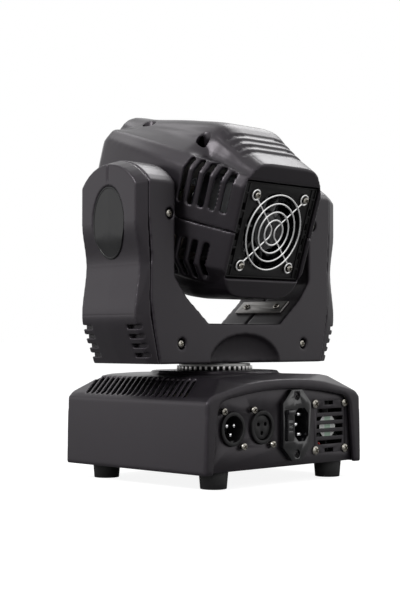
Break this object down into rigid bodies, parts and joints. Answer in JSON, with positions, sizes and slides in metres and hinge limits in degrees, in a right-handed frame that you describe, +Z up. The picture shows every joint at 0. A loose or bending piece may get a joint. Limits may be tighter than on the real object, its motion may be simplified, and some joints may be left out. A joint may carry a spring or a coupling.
{
  "type": "moving head spot light",
  "caption": "Small stage moving head spot: black moulded base with round sockets, a yoke that pans and a head that tilts.",
  "frame": {"origin": "centre of the flat mounting pad under the base, level with the lower rim of the base shell, on the pan axis", "axes": "+Z up along the pan axis, +Y towards the connector side, +X along the tilt axis"},
  "size_m": [0.2064, 0.162, 0.2656],
  "materials": {
    "charcoal": "satin moulded shell, fine grain",
    "dark_plastic": "satin",
    "gloss_black": "glossy",
    "rubber": "dull",
    "bright_steel": "bright plated",
    "grey_metal": "zinc plated",
    "aluminium": "bare",
    "brass": "bare",
    "colour_plate": "coated filters in a plate",
    "board": "lacquered circuit board",
    "pale_plastic": "pale grey-green",
    "lens_glass": "polished"
  },
  "bodies": {
    "base": {"base_cover": "charcoal", "bottom_plate": "dark_plastic", "foot_1": "rubber", "foot_2": "rubber", "foot_3": "rubber", "foot_4": "rubber", "rear_panel": "charcoal", "male_socket": "dark_plastic", "female_socket": "dark_plastic", "panel_screw_1": "bright_steel", "panel_screw_2": "bright_steel", "panel_screw_3": "bright_steel", "panel_screw_4": "bright_steel", "mains_inlet": "gloss_black", "base_fan_frame": "dark_plastic", "display_window": "gloss_black", "control_board": "board", "supply_board": "board", "pan_ring": "grey_metal"},
    "yoke": {"pan_shaft": "aluminium", "pan_motor": "grey_metal", "yoke_front_shell": "charcoal", "yoke_rear_shell": "charcoal", "left_arm_cover": "charcoal", "right_arm_cover": "charcoal", "left_badge": "dark_plastic", "right_badge": "dark_plastic", "strap_plate": "grey_metal", "left_bearing": "bright_steel", "right_bearing": "bright_steel", "tilt_motor": "grey_metal", "tilt_belt": "rubber"},
    "head": {"head_upper_shell": "charcoal", "head_lower_shell": "charcoal", "left_axle": "bright_steel", "right_axle": "bright_steel", "tilt_pulley": "aluminium", "front_rim": "dark_plastic", "front_lens": "lens_glass", "effects_chassis": "grey_metal", "led_module": "board", "heat_sink": "aluminium", "fan_bezel": "dark_plastic", "head_fan_frame": "dark_plastic", "finger_guard": "bright_steel", "guard_screw_1": "bright_steel", "guard_screw_2": "bright_steel", "guard_screw_3": "bright_steel", "guard_screw_4": "bright_steel"},
    "pan_pinion_body": {"pan_pinion": "brass"},
    "tilt_motor_pulley_body": {"tilt_motor_pulley": "aluminium"},
    "gobo_wheel_body": {"gobo_wheel": "bright_steel"},
    "colour_wheel_body": {"colour_wheel": "colour_plate"},
    "base_fan_rotor_body": {"base_fan_rotor": "pale_plastic"},
    "head_fan_rotor_body": {"head_fan_rotor": "dark_plastic"},
    "fuse_drawer_body": {"fuse_drawer": "gloss_black"},
    "menu_button_1_body": {"menu_button_1": "dark_plastic"},
    "menu_button_2_body": {"menu_button_2": "dark_plastic"},
    "menu_button_3_body": {"menu_button_3": "dark_plastic"},
    "menu_button_4_body": {"menu_button_4": "dark_plastic"}
  },
  "joints": [
    {"name": "pan", "type": "hinge", "parent": "base", "child": "yoke", "pos_m": [0, 0, 0.0712], "axis": [0, 0, 1], "range_deg": [-270, 270]},
    {"name": "tilt", "type": "hinge", "parent": "yoke", "child": "head", "pos_m": [0, 0, 0.1795], "axis": [-1, 0, 0], "range_deg": [-33.1, 176.9]},
    {"name": "pan_pinion_spin", "type": "hinge", "parent": "yoke", "child": "pan_pinion_body", "pos_m": [-0.03177, -0.01032, 0.07], "axis": [0, 0, 1], "range_deg": [-1080, 1080]},
    {"name": "tilt_motor_spin", "type": "hinge", "parent": "yoke", "child": "tilt_motor_pulley_body", "pos_m": [0.0835, 0, 0.113], "axis": [-1, 0, 0], "range_deg": [-82.75, 442.25]},
    {"name": "gobo_spin", "type": "hinge", "parent": "head", "child": "gobo_wheel_body", "pos_m": [0, -0.03415, 0.17803], "axis": [0, 0.9505, -0.3107], "continuous": true},
    {"name": "colour_spin", "type": "hinge", "parent": "head", "child": "colour_wheel_body", "pos_m": [0, -0.02654, 0.17555], "axis": [0, 0.9505, -0.3107], "continuous": true},
    {"name": "base_fan_spin", "type": "hinge", "parent": "base", "child": "base_fan_rotor_body", "pos_m": [-0.0494, 0.06, 0.0265], "axis": [0, 1, 0], "continuous": true},
    {"name": "head_fan_spin", "type": "hinge", "parent": "head", "child": "head_fan_rotor_body", "pos_m": [0, 0.05309, 0.16425], "axis": [0, 0.9505, -0.3107], "continuous": true},
    {"name": "fuse_drawer_slide", "type": "slide", "parent": "base", "child": "fuse_drawer_body", "axis": [0, 1, 0], "range_m": [0, 0.014]},
    {"name": "menu_button_1_press", "type": "slide", "parent": "base", "child": "menu_button_1_body", "axis": [0, 1, 0], "range_m": [0, 0.0012], "stiffness_N_per_m": 400, "springref_m": -0.0005},
    {"name": "menu_button_2_press", "type": "slide", "parent": "base", "child": "menu_button_2_body", "axis": [0, 1, 0], "range_m": [0, 0.0012], "stiffness_N_per_m": 400, "springref_m": -0.0005},
    {"name": "menu_button_3_press", "type": "slide", "parent": "base", "child": "menu_button_3_body", "axis": [0, 1, 0], "range_m": [0, 0.0012], "stiffness_N_per_m": 400, "springref_m": -0.0005},
    {"name": "menu_button_4_press", "type": "slide", "parent": "base", "child": "menu_button_4_body", "axis": [0, 1, 0], "range_m": [0, 0.0012], "stiffness_N_per_m": 400, "springref_m": -0.0005}
  ],
  "couplings": [
    {"joint": "pan_pinion_spin", "follows": "pan", "ratio": 4},
    {"joint": "tilt_motor_spin", "follows": "tilt", "ratio": 2.5}
  ]
}
